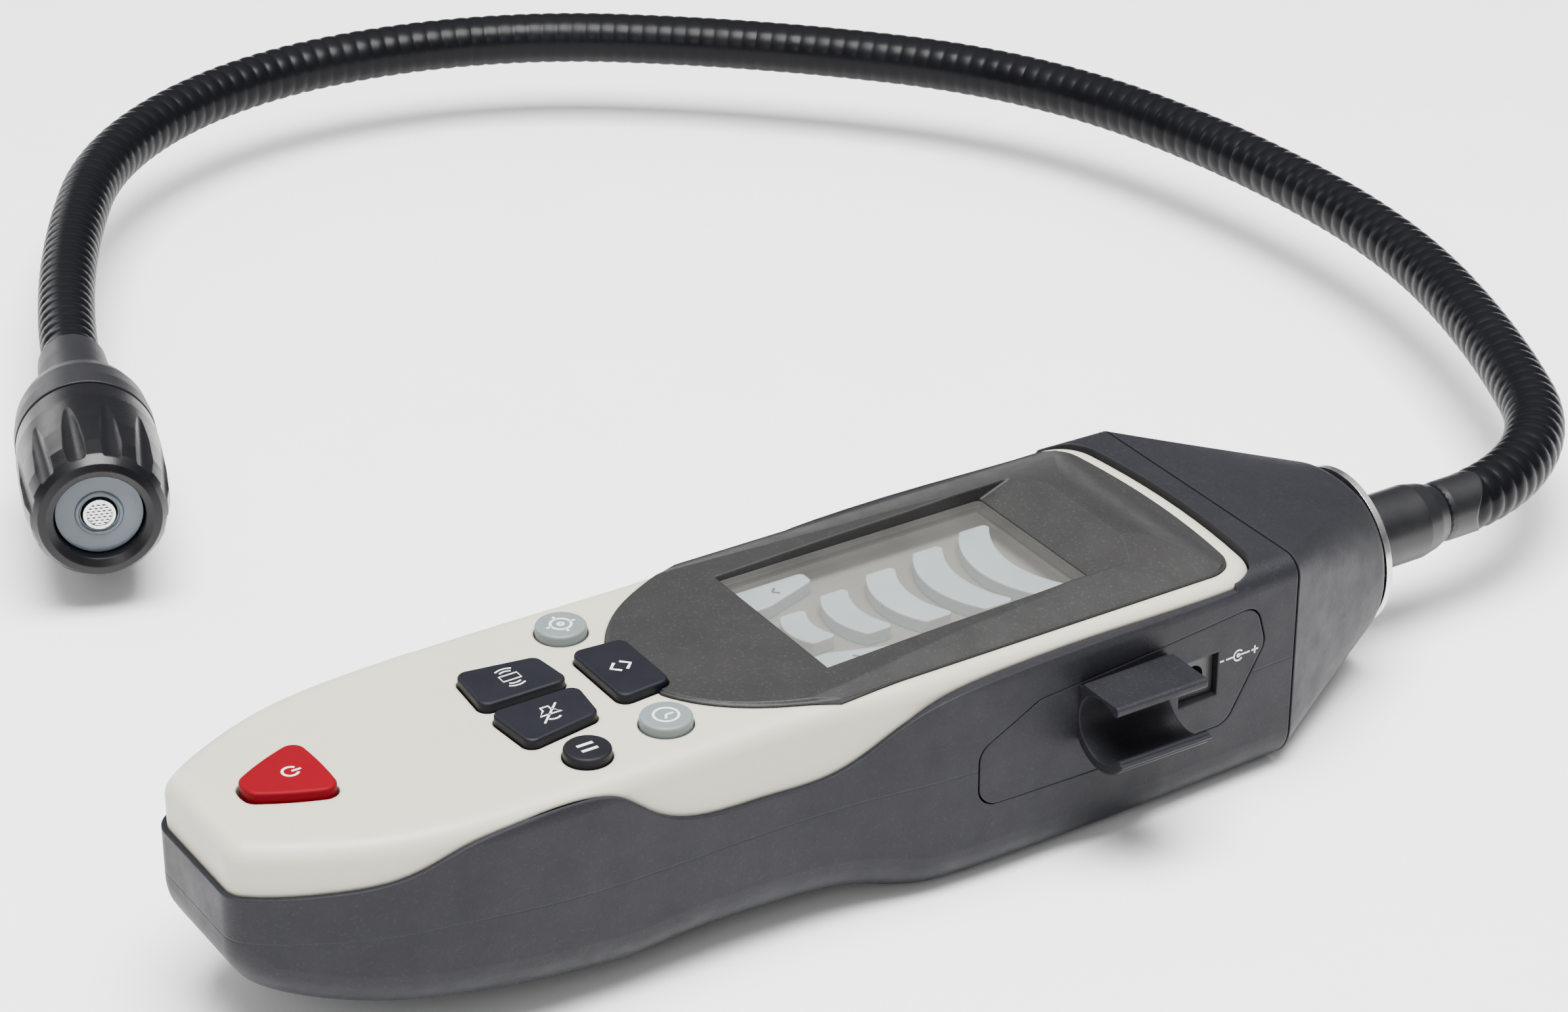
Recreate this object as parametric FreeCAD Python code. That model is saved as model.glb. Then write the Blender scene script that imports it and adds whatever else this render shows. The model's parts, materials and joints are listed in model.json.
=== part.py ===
import FreeCAD, Part
import math
import os
from FreeCAD import Vector

os.makedirs("parts", exist_ok=True)

# Portable gas detector lying on its back. X is its width, Y runs from the nose to the probe, Z is up.
# Distances along Y are measured here from the middle of the body. Each piece is saved with its origin
# at the centre of the flat back, on the surface that the detector rests on.

# ---- driving dimensions (mm) -------------------------------------------------------------------
ORIGIN_Y = 43.0                    # centre of the flat back
FACE_Z = 40.3                      # flat face that holds the keys
KEY_TOP_Z = 42.0
WALL = 2.2
LEDGE = 0.9                        # the light face cover stands this far inside the dark shell
FIT = 0.15                         # gap round a part that drops into another
NOSE_Y = -108.7
REAR_Y = 78.7                      # joint with the end cap
FLAT_Y = 8.3                       # the flat back starts here
BACK_ROUND = 8.0                   # rounding of the back edges
NOSE_ROUND = 5.0
TOP_ROUND = 3.5
RIM_ROUND = 3.0                    # rounding of the face cover's rim

# half outline seen from above, from the nose corner to the joint with the end cap
NOSE_CORNER = (11.6, NOSE_Y)
SIDE = [(14.9, -105.0), (18.1, -99.8), (20.9, -94.2), (23.6, -87.3), (25.3, -80.0), (26.4, -70.5),
        (26.9, -56.0), (26.9, -35.5), (27.5, -5.8), (29.3, 8.6), (29.8, 22.1), (29.4, 50.9),
        (28.3, REAR_Y)]

# curves seen from the side, as (y, z)
BACK_CURVE = [(-110.5, 25.5), (NOSE_Y, 20.8), (-105.5, 15.2), (-99, 11.8), (-88, 9.3), (-72, 7.0),
              (-55, 4.9), (-47, 4.4), (-38, 5.0), (-20, 4.6), (-5, 3.0), (2.5, 0.9), (FLAT_Y, 0)]
PARTING = [(-112, 24.4), (-102.1, 24.0), (-97, 23.9), (-85.5, 24.0), (-72.5, 23.5), (-63.5, 22.7),
           (-53, 22.1), (-40, 22), (20, 22), (82, 22)]
COVER_EDGE = [(-112, 31.8), (-107.8, 31.9), (-99.9, 32.1), (-93.1, 32.5), (-87.1, 33.2),
              (-81.9, 34.6), (-75.2, 37.1), (-67.9, 38.2), (-54.7, 38.5), (-50.1, 37.4),
              (-46.3, 34.7), (-42.3, 31.6), (-38.4, 29.8), (-32.4, 28.6), (-23.5, 28.2),
              (-11, 28.4), (-5.4, 30.5), (-0.6, 33.2), (4.1, 35.4), (8.9, 36.8), (20, 38.0),
              (40, 38.4), (66, 38.4)]
COVER_END_Y = 74.5
COVER_END_ROUND = 8.0

# display
WINDOW_X, WINDOW_Y0, WINDOW_Y1 = 16.8, -6.2, 46.0
WINDOW_Z, WINDOW_THICK = 40.4, 1.2
BEZEL_FRONT = [(8.6, -31.7), (14.4, -27.8), (19.2, -22.1), (25.0, -9.0)]
BEZEL_HALF, BEZEL_END_Y, BEZEL_Z, BEZEL_LOW_Z = 25.0, 70.2, 40.7, 38.3
BEZEL_TOP_Z = 44.6                 # top of the arch across the bezel
BEZEL_CROWN = [(-34, 40.9), (-6, 41.4), (20, 42.2), (46, 43.2), (56, 43.9), (60, 43.4),
               (66, 41.2), (72, 40.8)]

# housing screws, put in from the back through deep wells
BOSSES = [(15.6, -87.0, 10.6), (19.2, 2.0, 2.6), (21.4, 70.5, 1.9)]    # x, y, low end of the post
POST_R = 3.9
POST_TOP = 21.7
HEAD_WELL_R = 3.0
SCREW_SEAT_Z = 14.2
SCREW_HEAD_TALL = 2.2
SCREW_END_Z = 27.3

# board stack
BOARD_Z, BOARD_THICK = 31.4, 1.6
MAT_THICK = 1.0
KEY_TRAVEL = 0.8
TRAY_Z = 34.6
GUIDE_TALL = 2.4

# end cap, neck fitting
CAP_GAP = 0.4
CAP_END_Y = 110.4
CAP_END_R = 14.9
CAP_RIM = 4.0
NECK_Z = 20.0
WASHER_END_Y = 111.6
FERRULE_R = 6.8

# flexible neck: each link is one arc (length, turn to the left in degrees), all at NECK_Z
NECK_R = 5.5
PIVOT_0 = (0.0, 136.0)
START_HEADING = 90.0
LINKS = [(50, 63.5), (46, 9.5), (44, 16), (56, 13), (63, 28.5), (63, 12), (67, 34.5), (86.5, 60),
         (75, 13.5)]
KNUCKLE_R = 5.95                   # rounded end of a link, about the joint's axis
KNUCKLE_GAP = 0.3

# side panel, clip and socket on the +X side
PANEL = [(14.5, 15.0), (14.5, 25.5), (26.0, 31.6), (70.0, 34.6), (72.2, 27.0), (64.5, 14.0)]
PANEL_DEPTH = 2.6
CLIP_Y0, CLIP_Y1 = 33.5, 51.3
CLIP_X, CLIP_Z, CLIP_R, CLIP_THICK = 35.7, 26.2, 5.7, 1.6
CLIP_REACH = 40.2
JACK_Y, JACK_Z, JACK_R, JACK_FACE_X = 58.2, 24.3, 2.0, 27.6
RECESS = 8.2

# battery compartment
CELL_R, CELL_LONG, CELL_Y = 7.1, 50.0, 20.5
DOOR_X, DOOR_Y0, DOOR_Y1, DOOR_THICK = 17.2, 9.4, 75.4, 1.8


def save(name, *shapes):
    shape = shapes[0] if len(shapes) == 1 else Part.makeCompound(list(shapes))
    shape.translate(Vector(0, -ORIGIN_Y, 0))
    shape.exportStep("parts/" + name + ".step")


# ---- small shape helpers -----------------------------------------------------------------------
def box(x0, x1, y0, y1, z0, z1):
    return Part.makeBox(x1 - x0, y1 - y0, z1 - z0, Vector(x0, y0, z0))


def rod(radius, length, at, axis):
    return Part.makeCylinder(radius, length, Vector(*at), Vector(*axis))


def line(a, b):
    return Part.LineSegment(a, b).toShape()


def spline(vectors):
    curve = Part.BSplineCurve()
    curve.interpolate(vectors)
    return curve.toShape()


def prism(edges, direction):
    return Part.Face(Part.Wire(edges)).extrude(direction)


def polygon_prism(points, direction):
    """Extruded polygon; points are vectors in one plane."""
    return Part.Face(Part.makePolygon(points + [points[0]])).extrude(direction)


def edges_along(shape, axis, test=lambda p: True):
    """Straight edges parallel to an axis (0, 1 or 2) whose middle passes a test."""
    found = []
    for edge in shape.Edges:
        a, b = edge.Vertexes[0].Point, edge.Vertexes[-1].Point
        step = b - a
        if step.Length > 0.01 and abs(abs(step[axis]) - step.Length) < 1e-6 and test((a + b) * 0.5):
            found.append(edge)
    return found


def under_curve(points, low_z=-30.0, half=60.0):
    """Solid under a curve given as (y, z), across the whole width."""
    top = [Vector(-half, y, z) for y, z in points]
    a = Vector(-half, points[0][0], low_z)
    b = Vector(-half, points[-1][0], low_z)
    edges = [spline(top), line(top[-1], b), line(b, a), line(a, top[0])]
    return prism(edges, Vector(2 * half, 0, 0))


def inset_half(inset):
    """The half outline moved inwards by a distance measured across the wall."""
    points = [NOSE_CORNER] + SIDE
    turn = math.atan2(SIDE[0][1] - NOSE_CORNER[1], SIDE[0][0] - NOSE_CORNER[0])
    moved = [(NOSE_CORNER[0] - inset * math.tan(turn / 2), NOSE_CORNER[1] + inset)]
    for i in range(1, len(points)):
        before, after = points[i - 1], points[min(i + 1, len(points) - 1)]
        dx, dy = after[0] - before[0], after[1] - before[1]
        size = math.hypot(dx, dy)
        moved.append((points[i][0] - inset * dy / size, points[i][1] + inset * dx / size))
    moved[-1] = (moved[-1][0], REAR_Y)
    return moved


def plan_prism(inset, z0, z1, nose_round=NOSE_ROUND):
    """The body's outline seen from above, as an upright solid."""
    half = inset_half(inset)
    right = [Vector(x, y, z0) for x, y in half]
    left = [Vector(-x, y, z0) for x, y in half]
    edges = [line(left[0], right[0]), spline(right), line(right[-1], left[-1]), spline(left[::-1])]
    solid = prism(edges, Vector(0, 0, z1 - z0))
    nose = edges_along(solid, 2, lambda p: p.y < half[0][1] + 0.01)
    return solid.makeFillet(max(nose_round - inset, 1.5), nose)


# ---- housing -----------------------------------------------------------------------------------
def body_section(y, half, low, high, low_round, high_round):
    """Rounded rectangle across the body, as eight edges in a fixed order."""

    def corner(cx, cz, radius, a0):
        arc = []
        for a in (a0, a0 + 45, a0 + 90):
            t = math.radians(a)
            arc.append(Vector(cx + radius * math.cos(t), y, cz + radius * math.sin(t)))
        return arc

    lo, hi = low_round, high_round
    arcs = [corner(half - lo, low + lo, lo, -90), corner(half - hi, high - hi, hi, 0),
            corner(-half + hi, high - hi, hi, 90), corner(-half + lo, low + lo, lo, 180)]
    edges = []
    for i, arc in enumerate(arcs):
        edges.append(Part.Arc(*arc).toShape())
        edges.append(line(arc[2], arcs[(i + 1) % 4][0]))
    return Part.Wire(edges)


def hull_block():
    """Outside of the two dark shells together, before the joint line and the cover are cut."""
    solid = plan_prism(0, -6, FACE_Z)
    solid = solid.cut(under_curve(BACK_CURVE)).cut(box(-60, 60, FLAT_Y, 90, -20, 0))
    back_edges = []
    for edge in solid.Edges:
        b = edge.BoundBox
        if b.ZMax < 23 and 0.5 < b.YLength and b.XLength < 50 and b.YMin < REAR_Y - 0.1:
            back_edges.append(edge)
    solid = solid.makeFillet(BACK_ROUND, back_edges)
    top_edges = []
    for edge in solid.Edges:
        b = edge.BoundBox
        if b.ZMin > FACE_Z - 0.1 and b.YLength > 50:
            top_edges.append(edge)
    return solid.makeFillet(TOP_ROUND, top_edges)


def cover_block(inset, top, end_y=COVER_END_Y):
    """Upright solid of the face cover's outline, with its rounded far end."""
    half = 27.6 - (inset - LEDGE)
    end_round = COVER_END_ROUND - (inset - LEDGE)
    corner_y = end_y - 2.6
    a, b, c = Vector(half, corner_y, 20), Vector(0, end_y, 20), Vector(-half, corner_y, 20)
    low_a, low_c = Vector(half, -130, 20), Vector(-half, -130, 20)
    outline = [Part.Arc(a, b, c).toShape(), line(c, low_c), line(low_c, low_a), line(low_a, a)]
    end = prism(outline, Vector(0, 0, 40))
    end = end.makeFillet(end_round, edges_along(end, 2, lambda p: p.y > 0))
    return plan_prism(inset, 24, top).common(end)


def face_cover(keys):
    """Light face cover: flat top, walls down to a wavy edge, openings for keys and bezel."""
    outer = cover_block(LEDGE, FACE_Z)
    rim = [e for e in outer.Edges if e.BoundBox.ZMin > FACE_Z - 0.01]
    outer = outer.makeFillet(RIM_ROUND, rim)
    outer = outer.cut(under_curve(COVER_EDGE, 10)).cut(box(-60, 60, 65.9, 90, 10, 38.4))
    inner = cover_block(LEDGE + 2.0, FACE_Z - 2.0, COVER_END_Y - 2.0)
    cover = outer.cut(inner).cut(bezel_outline(FIT, 30, 50))
    for key in keys:
        cover = cover.cut(key["hole"])
    return cover


def panel_cut(grow, x0, x1):
    """Oblong side panel outline, grown by a gap, as a solid along X."""
    middle_y = sum(p[0] for p in PANEL) / len(PANEL)
    middle_z = sum(p[1] for p in PANEL) / len(PANEL)
    points = []
    for y, z in PANEL:
        reach = math.hypot(y - middle_y, z - middle_z)
        grown = 1 + 1.2 * grow / reach
        points.append(Vector(x0, middle_y + (y - middle_y) * grown, middle_z + (z - middle_z) * grown))
    solid = polygon_prism(points, Vector(x1 - x0, 0, 0))
    return solid.makeFillet(3.6, edges_along(solid, 0))


def boss_places():
    return [(side * x, y) for x, y, _ in BOSSES for side in (-1, 1)]


def cavity(low, high):
    return plan_prism(WALL + LEDGE, low, high)


def front_shell(hull):
    """Upper dark shell: a ring of wall between the joint line and the face cover."""
    shell = hull.cut(under_curve(PARTING))
    over = box(-60, 60, -130, 65.9, 20, 60).cut(under_curve(COVER_EDGE, 10))
    shell = shell.cut(over)
    shell = shell.cut(cover_block(LEDGE, 60, COVER_END_Y).cut(box(-60, 60, -130, 90, 0, 38.4)))
    room = cavity(10, 38.4).cut(box(-60, 60, COVER_END_Y + 1.2, 90, 0, 60))
    shell = shell.cut(room).cut(panel_cut(0.3, 20, 40))
    shell = shell.cut(cavity(10, 36.0).cut(box(-60, 60, -130, COVER_END_Y, 0, 60)))
    for x, y in boss_places():
        side = math.copysign(1, x)
        rib_end = 27.0 if y > -50 else 22.2
        rib = box(min(x, side * rib_end), max(x, side * rib_end), y - 1.2, y + 1.2, 27.0, 30.5)
        post = rod(3.0, BOARD_Z - 24.0, (x, y, 24.0), (0, 0, 1)).fuse(rib).cut(under_curve(PARTING))
        shell = shell.fuse(post).cut(rod(1.35, 6.0, (x, y, 23.0), (0, 0, 1)))
    return shell.cut(panel_cut(0.3, 20, 40)).removeSplitter()


def back_room(inset, lift):
    """Space inside the rear shell: an outline moved inwards, above the back by a wall and a lift."""
    floor = [(y, z + WALL + lift) for y, z in BACK_CURVE[:-1]] + [(FLAT_Y, WALL + lift)]
    room = plan_prism(inset, -6, 40).cut(under_curve(floor))
    return room.cut(box(-60, 60, FLAT_Y, 90, -20, WALL + lift))


def rear_shell(hull):
    """Lower dark shell: back, battery opening, screw posts."""
    joint = under_curve(PARTING)
    shell = hull.common(joint)
    shell = shell.cut(back_room(WALL, 3.4)).cut(back_room(5.2, 0.0))
    for half, y, low in BOSSES:
        for x in (-half, half):
            shell = shell.fuse(rod(POST_R, POST_TOP - low, (x, y, low), (0, 0, 1)))
            shell = shell.cut(rod(1.7, 40, (x, y, -5), (0, 0, 1)))
            shell = shell.cut(rod(HEAD_WELL_R, SCREW_SEAT_Z + 5, (x, y, -5), (0, 0, 1)))
    shell = shell.cut(box(-DOOR_X - FIT, DOOR_X + FIT, DOOR_Y0 - FIT, DOOR_Y1 + FIT, -5, 10))
    return shell.cut(panel_cut(0.3, 20, 40)).removeSplitter()


def housing_screws():
    screws = []
    low = SCREW_SEAT_Z - SCREW_HEAD_TALL
    for x, y in boss_places():
        head = rod(2.7, SCREW_HEAD_TALL, (x, y, low), (0, 0, 1))
        slot = box(x - 2.0, x + 2.0, y - 0.35, y + 0.35, low - 1, low + 0.9)
        cross = box(x - 0.35, x + 0.35, y - 2.0, y + 2.0, low - 1, low + 0.9)
        shank = rod(1.3, SCREW_END_Z - SCREW_SEAT_Z, (x, y, SCREW_SEAT_Z), (0, 0, 1))
        screws.append(head.fuse(shank).cut(slot).cut(cross))
    return screws


# ---- end cap and neck fitting ------------------------------------------------------------------
def circle_section(y, radius):
    """Circle round the neck axis, split to match body_section."""
    edges = []
    for a0, a1 in zip([-75, -35, 20, 65, 115, 160, 215, 255], [-35, 20, 65, 115, 160, 215, 255, 285]):
        arc = []
        for a in (a0, (a0 + a1) / 2, a1):
            t = math.radians(a)
            arc.append(Vector(radius * math.cos(t), y, NECK_Z + radius * math.sin(t)))
        edges.append(Part.Arc(*arc).toShape())
    return Part.Wire(edges)


def end_cap():
    """Tapered cap that closes the body and carries the neck."""
    half = SIDE[-1][0]
    start = REAR_Y + CAP_GAP
    first = body_section(start, half, 0, FACE_Z, BACK_ROUND, TOP_ROUND)
    outer = Part.makeLoft([first, circle_section(CAP_END_Y, CAP_END_R)], True, True)
    rim = [e for e in outer.Edges if e.BoundBox.YMin > CAP_END_Y - 0.01]
    outer = outer.makeFillet(CAP_RIM, rim)
    thin = 2.4
    inner_first = body_section(start - 0.01, half - thin, thin, FACE_Z - thin, BACK_ROUND - thin, 2.0)
    inner = Part.makeLoft([inner_first, circle_section(CAP_END_Y - 3.0, CAP_END_R - 3.4)], True, True)
    cap = outer.cut(inner).cut(rod(5.2, 20, (0, 95, NECK_Z), (0, 1, 0)))
    tongue_out = body_section(start - 3.0, half - 3.4, 5.8, FACE_Z - 4.8, BACK_ROUND - 3.0, 2.0)
    tongue_in = body_section(start - 3.0, half - 4.8, 7.2, FACE_Z - 6.2, BACK_ROUND - 4.0, 1.5)
    ring = Part.Face(tongue_out).extrude(Vector(0, 5.0, 0)).cut(Part.Face(tongue_in).extrude(Vector(0, 5.0, 0)))
    return cap.fuse(ring.cut(panel_cut(0.3, 20, 40))).removeSplitter()


def turned(profile, origin, axis_angle):
    """Solid of revolution about a level axis; profile is (distance along, radius)."""
    points = [Vector(0, s, r) for s, r in profile]
    face = Part.Face(Part.makePolygon(points + [points[0]]))
    solid = face.revolve(Vector(0, 0, 0), Vector(0, 1, 0), 360)
    solid.rotate(Vector(0, 0, 0), Vector(0, 0, 1), axis_angle - 90)
    solid.translate(Vector(*origin))
    return solid


def knuckle(x, y, radius, lift, heading, long=20.0):
    """Cylinder about a joint's axis: upright for a sideways joint, level for a lifting one."""
    if not lift:
        return rod(radius, long, (x, y, NECK_Z - long / 2), (0, 0, 1))
    a = math.radians(heading + 90)
    ax, ay = math.cos(a), math.sin(a)
    return rod(radius, long, (x - ax * long / 2, y - ay * long / 2, NECK_Z), (ax, ay, 0))


def rounded_stub(x, y, heading, lift, back):
    """End of a link beyond its joint, rounded about the joint's axis; back is its length behind."""
    a = math.radians(heading)
    start = (x - back * math.cos(a), y - back * math.sin(a), NECK_Z)
    stub = rod(NECK_R, back + KNUCKLE_R + 1, start, (math.cos(a), math.sin(a), 0))
    ahead = polygon_prism([Vector(x - 9 * math.sin(a), y + 9 * math.cos(a), 8),
                           Vector(x + 9 * math.sin(a), y - 9 * math.cos(a), 8),
                           Vector(x + 9 * math.sin(a) + 12 * math.cos(a),
                                  y - 9 * math.cos(a) + 12 * math.sin(a), 8),
                           Vector(x - 9 * math.sin(a) + 12 * math.cos(a),
                                  y + 9 * math.cos(a) + 12 * math.sin(a), 8)], Vector(0, 0, 24))
    return stub.cut(ahead.cut(knuckle(x, y, KNUCKLE_R, lift, heading)))


def neck_stations():
    """Pivots of the neck: x, y, heading, and whether the joint there lifts."""
    x, y = PIVOT_0
    heading = START_HEADING
    stations = [(x, y, heading, False)]
    for i, (length, turn) in enumerate(LINKS):
        radius = length / math.radians(turn)
        a = math.radians(heading)
        cx, cy = x - radius * math.sin(a), y + radius * math.cos(a)
        heading += turn
        a = math.radians(heading)
        x, y = cx + radius * math.sin(a), cy - radius * math.cos(a)
        stations.append((x, y, heading, i % 2 == 0))
    return stations


def neck_link(a, b, length, turn, last):
    """One arc of the neck with a hollow start and a rounded end."""
    x, y, heading, lift = a
    radius = length / math.radians(turn)
    t = math.radians(heading)
    centre = Vector(x - radius * math.sin(t), y + radius * math.cos(t), NECK_Z)
    ring = Part.Wire(Part.makeCircle(NECK_R, Vector(x, y, NECK_Z), Vector(math.cos(t), math.sin(t), 0)))
    tube = Part.Face(ring).revolve(centre, Vector(0, 0, 1), turn)
    if not last:
        tube = tube.fuse(rounded_stub(b[0], b[1], b[2], b[3], 0.0)).removeSplitter()
    return tube.cut(knuckle(x, y, KNUCKLE_R + KNUCKLE_GAP, lift, heading))


def neck_base_ferrule():
    """Fitting that the neck grows out of, with its threaded tail inside the cap."""
    tail, face = 5.1, WASHER_END_Y
    profile = [(102.0, 2.6), (102.0, tail), (face, tail), (face, 6.4), (face + 4.5, 6.4),
               (face + 5.5, FERRULE_R), (face + 15.5, FERRULE_R), (face + 18.5, 6.2),
               (face + 21.0, 5.3), (PIVOT_0[1] - 2, NECK_R), (PIVOT_0[1] - 2, 2.6)]
    fitting = turned(profile, (0, 0, NECK_Z), 90)
    return fitting.fuse(rounded_stub(PIVOT_0[0], PIVOT_0[1], 90, False, 2.0))


def neck_nut():
    nut = []
    for i in range(6):
        t = math.radians(60 * i)
        nut.append(Vector(8.6 * math.cos(t), 103.0, NECK_Z + 8.6 * math.sin(t)))
    solid = polygon_prism(nut, Vector(0, 4.3, 0))
    return solid.cut(rod(5.15, 10, (0, 100, NECK_Z), (0, 1, 0)))


def neck_washer():
    disc = rod(14.4, WASHER_END_Y - CAP_END_Y, (0, CAP_END_Y, NECK_Z), (0, 1, 0))
    return disc.cut(rod(5.15, 5, (0, CAP_END_Y - 1, NECK_Z), (0, 1, 0)))


# ---- display -----------------------------------------------------------------------------------
def bezel_points(grow):
    half = BEZEL_HALF + grow
    first = BEZEL_FRONT[0]
    points = [(first[0] + 0.5 * grow, first[1] - grow)]
    for x, y in BEZEL_FRONT[1:-1]:
        points.append((x + 0.65 * grow, y - 0.75 * grow))
    points.append((half, BEZEL_FRONT[-1][1]))
    return points


def bezel_outline(grow, z0, z1):
    """Bezel outline seen from above: narrow front, straight sides, rounded crowned far end."""
    right = [Vector(x, y, z0) for x, y in bezel_points(grow)]
    left = [Vector(-v.x, v.y, z0) for v in right]
    side_y = BEZEL_END_Y - 2.2 + grow
    far_right, far_left = Vector(right[-1].x, side_y, z0), Vector(left[-1].x, side_y, z0)
    far_end = Part.Arc(far_right, Vector(0, BEZEL_END_Y + grow, z0), far_left).toShape()
    edges = [line(left[0], right[0]), spline(right), line(right[-1], far_right), far_end,
             line(far_left, left[-1]), spline(left[::-1])]
    solid = prism(edges, Vector(0, 0, z1 - z0))
    return solid.makeFillet(5.5 + grow, edges_along(solid, 2, lambda p: p.y > 50))


def bezel_vault():
    """Solid with an arched top, low at the bezel's long sides and highest along its middle."""
    side = BEZEL_HALF - 0.4
    y, low = BEZEL_FRONT[0][1] - 2, BEZEL_Z - 0.5
    a, b, c = Vector(-side, y, BEZEL_Z), Vector(0, y, BEZEL_TOP_Z), Vector(side, y, BEZEL_Z)
    d, e = Vector(side, y, low), Vector(-side, y, low)
    edges = [Part.Arc(a, b, c).toShape(), line(c, d), line(d, e), line(e, a)]
    return prism(edges, Vector(0, BEZEL_END_Y - y + 2, 0))


def display_bezel(range_key_hole):
    """Bezel with a raised inner field, sloping recess beyond the window, low far end."""
    plate = bezel_outline(0, BEZEL_LOW_Z, BEZEL_Z)
    raised = bezel_outline(-0.4, BEZEL_Z - 0.5, 46).common(under_curve(BEZEL_CROWN))
    raised = raised.common(bezel_vault())
    bezel = plate.fuse(raised)
    glass_low = WINDOW_Z - WINDOW_THICK
    x, y0, y1 = WINDOW_X, WINDOW_Y0, WINDOW_Y1
    pocket = box(-x - FIT, x + FIT, y0 - FIT, y1 + FIT, glass_low, 50)
    through = box(-x + 1.6, x - 1.6, y0 + 1.6, y1 - 1.6, 30, 50)
    slope = polygon_prism([Vector(-x - FIT, y1, WINDOW_Z), Vector(-x - FIT, y1 + 10, 44.2),
                           Vector(-x - FIT, y1, 50)], Vector(2 * x + 2 * FIT, 0, 0))
    return bezel.cut(pocket).cut(through).cut(slope).cut(range_key_hole).removeSplitter()


def display_window():
    low = WINDOW_Z - WINDOW_THICK
    glass = box(-WINDOW_X, WINDOW_X, WINDOW_Y0, WINDOW_Y1, low, WINDOW_Z)
    return glass.makeFillet(1.0, edges_along(glass, 2))


def level_bar(number):
    """Curved translucent bar, bulging towards the nose; bars grow longer and thicker towards the probe."""
    middle_y = [0.4, 9.4, 19.4, 29.6, 39.8][number]
    half = [5.0, 7.2, 9.0, 10.8, 12.6][number]
    deep = [5.0, 5.4, 5.8, 6.0, 6.2][number]
    bow = half * half / 90.0 + 0.6
    low = TRAY_Z + 1.2
    y0, y1 = middle_y - deep / 2, middle_y + deep / 2
    a, b, c = Vector(-half, y0 + bow, low), Vector(0, y0 - bow, low), Vector(half, y0 + bow, low)
    d, e, f = Vector(half, y1 + bow, low), Vector(0, y1 - bow, low), Vector(-half, y1 + bow, low)
    edges = [Part.Arc(a, b, c).toShape(), line(c, d), Part.Arc(d, e, f).toShape(), line(f, a)]
    bar = prism(edges, Vector(0, 0, GUIDE_TALL))
    return bar.makeFillet(0.9, edges_along(bar, 2))


def range_lamp(side):
    """Corner lamp of the low or high range."""
    low = TRAY_Z + 1.2
    inner, outer = side * 8.6, side * 15.2
    points = [Vector(outer, -4.2, low), Vector(outer, 9.4, low), Vector(outer - side * 3.0, 9.4, low),
              Vector(inner, -1.0, low), Vector(inner, -4.2, low)]
    lamp = polygon_prism(points, Vector(0, 0, GUIDE_TALL))
    return lamp.makeFillet(1.0, edges_along(lamp, 2))


def lamp_places():
    places = [(0.0, y) for y in (0.4, 9.6, 19.8, 30.0, 40.4)]
    return places + [(-12.6, 0.0), (12.6, 0.0)]


def light_guide_tray():
    """Open tray that carries the light guides and holds up the bezel."""
    tray = box(-20, 20, -13, 53, TRAY_Z, BEZEL_LOW_Z)
    tray = tray.cut(box(-18.8, 18.8, -11.8, 51.8, TRAY_Z + 1.2, 50))
    for x, y in lamp_places():
        tray = tray.cut(rod(1.6, 5, (x, y, TRAY_Z - 1), (0, 0, 1)))
    return tray


def indicator_leds():
    z = BOARD_Z + BOARD_THICK
    return [box(x - 1.0, x + 1.0, y - 0.6, y + 0.6, z, z + 1.2) for x, y in lamp_places()]


# ---- keys --------------------------------------------------------------------------------------
def wide_key_outline(points, grow):
    middle_x = sum(p[0] for p in points) / len(points)
    middle_y = sum(p[1] for p in points) / len(points)
    out = []
    for x, y in points:
        out.append(Vector(x + math.copysign(grow, x - middle_x), y + math.copysign(grow, y - middle_y), 0))
    return out


def wide_key(points, corner, z0, z1, grow):
    solid = polygon_prism(wide_key_outline(points, grow), Vector(0, 0, z1 - z0))
    solid = solid.makeFillet(corner + max(grow, -0.5), edges_along(solid, 2))
    solid.translate(Vector(0, 0, z0))
    return solid


def round_key(x, y, radius, z0, z1, grow):
    return rod(radius + grow, z1 - z0, (x, y, z0), (0, 0, 1))


def power_key(z0, z1, grow):
    """Rounded shield: four corners joined by slightly bulging sides, narrow towards the nose."""
    corners = [(-7.9, -86.9), (7.9, -86.9), (2.4, -99.2), (-2.4, -99.2)]
    middle_y = -92.0
    bulge = 0.5
    grown = []
    for x, y in corners:
        reach = math.hypot(x, y - middle_y)
        scale = 1 + 2 * grow / reach
        grown.append(Vector(x * scale, middle_y + (y - middle_y) * scale, z0))
    edges = []
    for a, b in zip(grown, grown[1:] + grown[:1]):
        side = b - a
        outward = Vector(side.y, -side.x, 0).normalize()
        if outward.dot(a - Vector(0, middle_y, z0)) < 0:
            outward = -outward
        edges.append(Part.Arc(a, (a + b) * 0.5 + outward * bulge, b).toShape())
    solid = prism(edges, Vector(0, 0, z1 - z0))
    return solid.makeFillet(2.2 + 0.5 * grow, edges_along(solid, 2))


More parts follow.
